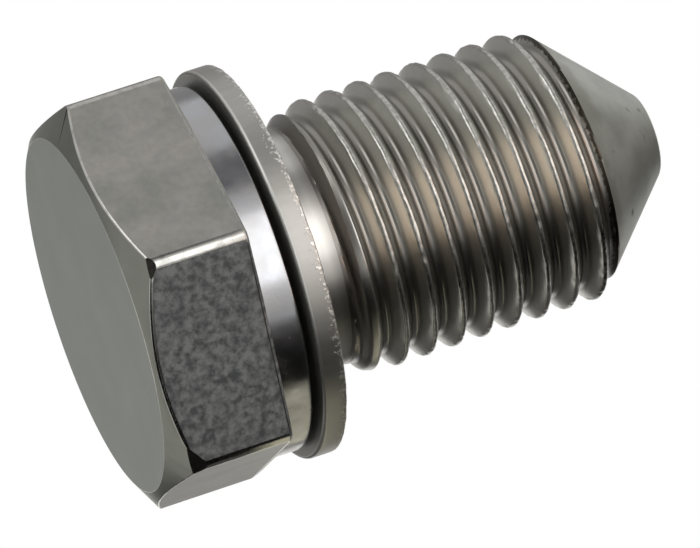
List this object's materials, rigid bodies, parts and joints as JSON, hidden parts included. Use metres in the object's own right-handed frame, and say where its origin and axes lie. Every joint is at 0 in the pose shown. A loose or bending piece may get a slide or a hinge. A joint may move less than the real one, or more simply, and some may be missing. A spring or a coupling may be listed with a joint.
{
  "type": "oil drain plug",
  "caption": "Oil drain plug: hexagon head, round collar, fine right-hand thread with a cone point, and a loose captive washer that seals it against the sump.",
  "frame": {"origin": "centre of the hexagon head's flat face, on which the plug stands", "axes": "+Z along the thread from the head to the point; +X out of one spanner flat"},
  "size_m": [0.0198, 0.0216, 0.0292],
  "materials": {
    "plug_steel": "satin plated forged steel with a rolled thread",
    "washer_steel": "bright stamped soft steel"
  },
  "bodies": {
    "plug": {"plug_body": "plug_steel"},
    "washer": {"seal_washer": "washer_steel"}
  },
  "joints": [
    {"name": "washer_spin", "type": "hinge", "parent": "plug", "child": "washer", "pos_m": [0, 0, 0.00852], "axis": [0, 0, 1], "continuous": true}
  ]
}
